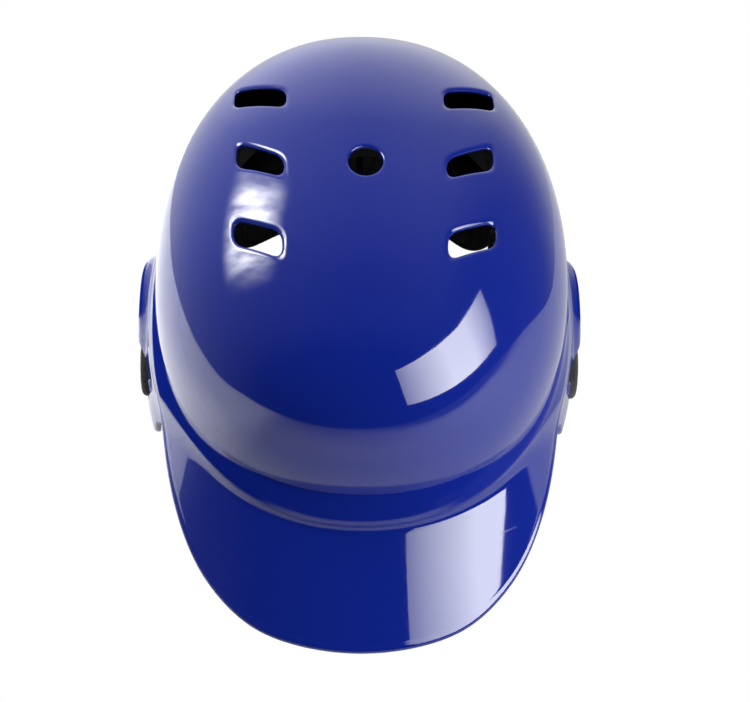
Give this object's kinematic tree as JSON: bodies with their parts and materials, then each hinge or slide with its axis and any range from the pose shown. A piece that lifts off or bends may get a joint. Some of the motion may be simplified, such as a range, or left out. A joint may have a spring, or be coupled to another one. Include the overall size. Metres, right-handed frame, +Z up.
{
  "type": "batting helmet",
  "caption": "Hard-shell batting helmet with two ear flaps, a short arched brim, slanted crown vents and glued foam padding.",
  "frame": {"origin": "on the ground under the middle of the helmet's length and width, the helmet standing on its ear flaps", "axes": "+Z up, -Y the way the brim points, +X the wearer's left ear"},
  "size_m": [0.2454, 0.318, 0.2071],
  "materials": {
    "shell": "high-gloss moulded ABS, dark blue right through",
    "foam": "black brushed fabric over closed-cell foam"
  },
  "bodies": {
    "root": {"shell": "shell", "forehead_pad": "foam", "crown_pad": "foam", "left_temple_pad": "foam", "left_side_pad": "foam", "left_rear_pad": "foam", "left_nape_pad": "foam", "left_flap_pad": "foam", "left_ear_pad": "foam", "right_temple_pad": "foam", "right_side_pad": "foam", "right_rear_pad": "foam", "right_nape_pad": "foam", "right_flap_pad": "foam", "right_ear_pad": "foam"}
  },
  "joints": []
}
